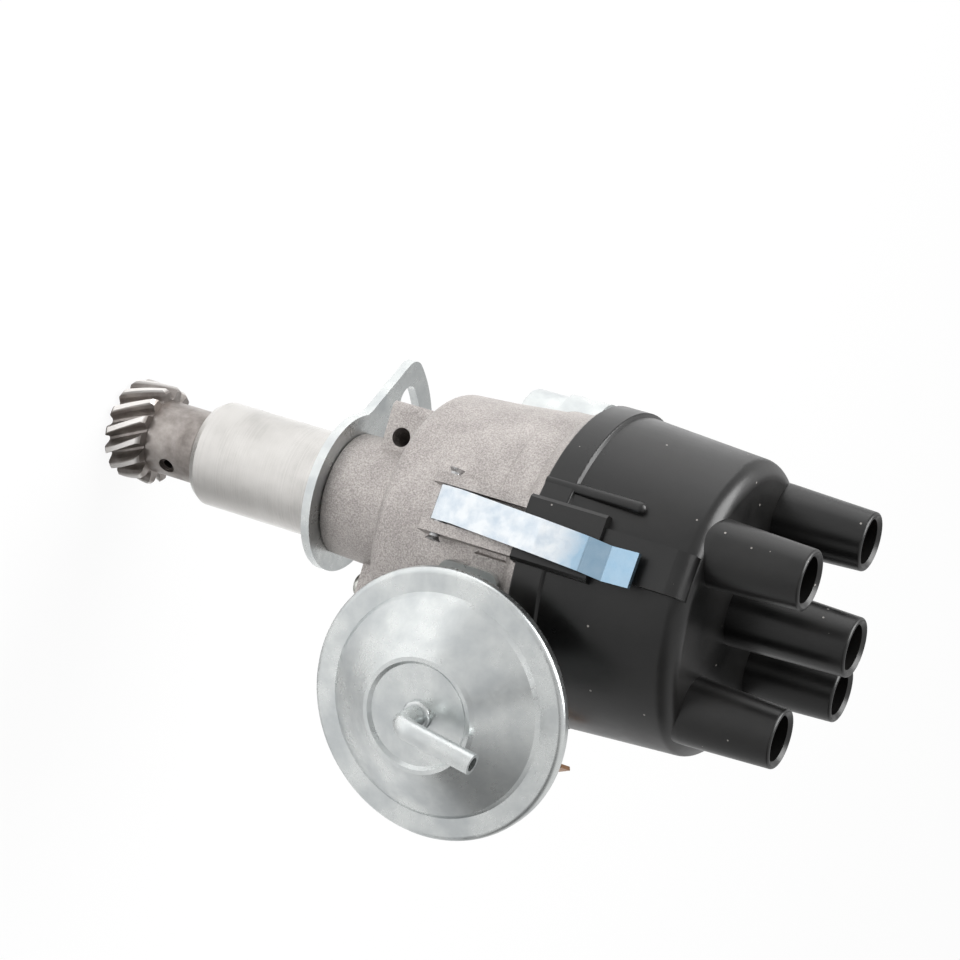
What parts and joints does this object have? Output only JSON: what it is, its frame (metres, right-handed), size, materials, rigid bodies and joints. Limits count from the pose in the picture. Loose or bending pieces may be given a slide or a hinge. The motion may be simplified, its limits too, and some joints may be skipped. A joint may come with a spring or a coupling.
{
  "type": "ignition distributor",
  "caption": "Engine-driven ignition distributor with a helical drive gear, cast bowl, clamp plate, vacuum advance unit and a socketed cap held by spring clips.",
  "frame": {"origin": "on the drive shaft's axis, in the plane of the clamp plate's underside, which seats on the engine", "axes": "+Z along the drive shaft towards the cap's sockets; -Y the way the vacuum unit faces; +X completes the right hand"},
  "size_m": [0.1017, 0.1225, 0.2096],
  "materials": {
    "cast_aluminium": "sand-textured die casting, machined bright at the neck and shank",
    "zinc_steel": "zinc plated, spangled",
    "dark_steel": "oiled, case hardened",
    "bright_steel": "ground",
    "sintered_bronze": "oil-filled sintered bronze",
    "black_phenolic": "satin moulded phenolic with fine specks",
    "brown_phenolic": "satin laminated phenolic",
    "brass": "drawn brass",
    "bronze_strip": "rolled bronze strip",
    "carbon": "pressed carbon",
    "rubberised_cloth": "rubber-coated cloth",
    "felt": "wool felt",
    "nylon": "natural nylon",
    "tungsten": "ground contact metal"
  },
  "bodies": {
    "housing_body": {"housing": "cast_aluminium", "lower_bush": "sintered_bronze", "upper_bush": "sintered_bronze", "base_plate": "zinc_steel", "base_screws": "zinc_steel", "bearing_ring": "nylon", "upper_thrust_washer": "brown_phenolic", "vacuum_front_cover": "zinc_steel", "vacuum_back_cover": "zinc_steel", "vacuum_diaphragm": "rubberised_cloth", "vacuum_spring": "bright_steel", "vacuum_nipple": "zinc_steel", "vacuum_bracket": "zinc_steel", "bracket_screws": "zinc_steel", "clip_pins": "bright_steel", "distributor_cap": "black_phenolic", "cap_terminals": "brass", "centre_terminal": "brass", "brush_spring": "bright_steel", "condenser": "zinc_steel", "condenser_strap": "zinc_steel", "condenser_screw": "zinc_steel", "terminal_insulator": "black_phenolic", "primary_terminal": "bronze_strip", "terminal_stud": "brass", "lug_screw": "zinc_steel"},
    "clamp": {"clamp_plate": "zinc_steel"},
    "shaft": {"drive_shaft": "bright_steel", "drive_gear": "dark_steel", "gear_pin": "dark_steel", "lower_thrust_washer": "bright_steel", "governor_carrier": "bright_steel", "weight_pins": "bright_steel", "governor_springs": "bright_steel"},
    "weight_a": {"flyweight_a": "dark_steel"},
    "weight_b": {"flyweight_b": "dark_steel"},
    "cam": {"breaker_cam": "bright_steel", "cam_screw": "zinc_steel", "oil_felt": "felt", "rotor_arm": "black_phenolic", "rotor_blade": "brass"},
    "breaker": {"breaker_plate": "zinc_steel", "rod_pin": "bright_steel", "pivot_post": "bright_steel", "fixed_contact": "zinc_steel", "fixed_point": "tungsten", "contact_screw": "zinc_steel", "breaker_spring": "bright_steel"},
    "points_arm": {"breaker_arm": "zinc_steel", "moving_point": "tungsten", "rubbing_block": "brown_phenolic"},
    "vacuum_link": {"vacuum_rod": "zinc_steel"},
    "brush": {"carbon_brush": "carbon"},
    "front_clip_body": {"front_clip": "zinc_steel"},
    "rear_clip_body": {"rear_clip": "zinc_steel"}
  },
  "joints": [
    {"name": "clamp_turn", "type": "hinge", "parent": "housing_body", "child": "clamp", "pos_m": [0, 0, 0], "axis": [0, 0, 1], "range_deg": [-12, 12]},
    {"name": "shaft_spin", "type": "hinge", "parent": "housing_body", "child": "shaft", "pos_m": [0, 0, 0], "axis": [0, 0, 1], "continuous": true},
    {"name": "cam_advance", "type": "hinge", "parent": "shaft", "child": "cam", "pos_m": [0, 0, 0], "axis": [0, 0, 1], "range_deg": [0, 12]},
    {"name": "weight_a_swing", "type": "hinge", "parent": "shaft", "child": "weight_a", "pos_m": [0.00676, -0.0145, 0], "axis": [0, 0, 1], "range_deg": [-15.44, 0]},
    {"name": "weight_b_swing", "type": "hinge", "parent": "shaft", "child": "weight_b", "pos_m": [-0.00676, 0.0145, 0], "axis": [0, 0, 1], "range_deg": [-15.44, 0]},
    {"name": "plate_advance", "type": "hinge", "parent": "housing_body", "child": "breaker", "pos_m": [0, 0, 0], "axis": [0, 0, -1], "range_deg": [0, 10]},
    {"name": "vacuum_pull", "type": "slide", "parent": "housing_body", "child": "vacuum_link", "axis": [0, -1, 0], "range_m": [0, 0.00472], "deforming": ["vacuum_diaphragm", "vacuum_spring"]},
    {"name": "breaker_arm_swing", "type": "hinge", "parent": "breaker", "child": "points_arm", "pos_m": [-0.0155, 0.014, 0], "axis": [0, 0, 1], "range_deg": [0, 1.6]},
    {"name": "brush_press", "type": "slide", "parent": "housing_body", "child": "brush", "axis": [0, 0, 1], "range_m": [0, 0.0015], "deforming": ["brush_spring"]},
    {"name": "front_clip_swing", "type": "hinge", "parent": "housing_body", "child": "front_clip_body", "pos_m": [-0.01559, -0.03421, 0.046], "axis": [0.91, -0.4147, 0], "range_deg": [0, 100]},
    {"name": "rear_clip_swing", "type": "hinge", "parent": "housing_body", "child": "rear_clip_body", "pos_m": [0.01559, 0.03421, 0.046], "axis": [-0.91, 0.4147, 0], "range_deg": [0, 100]}
  ],
  "couplings": [
    {"joint": "weight_a_swing", "follows": "cam_advance", "ratio": -1.2857},
    {"joint": "weight_b_swing", "follows": "cam_advance", "ratio": -1.2857},
    {"joint": "vacuum_pull", "follows": "plate_advance", "m_per_rad": 0.027}
  ]
}
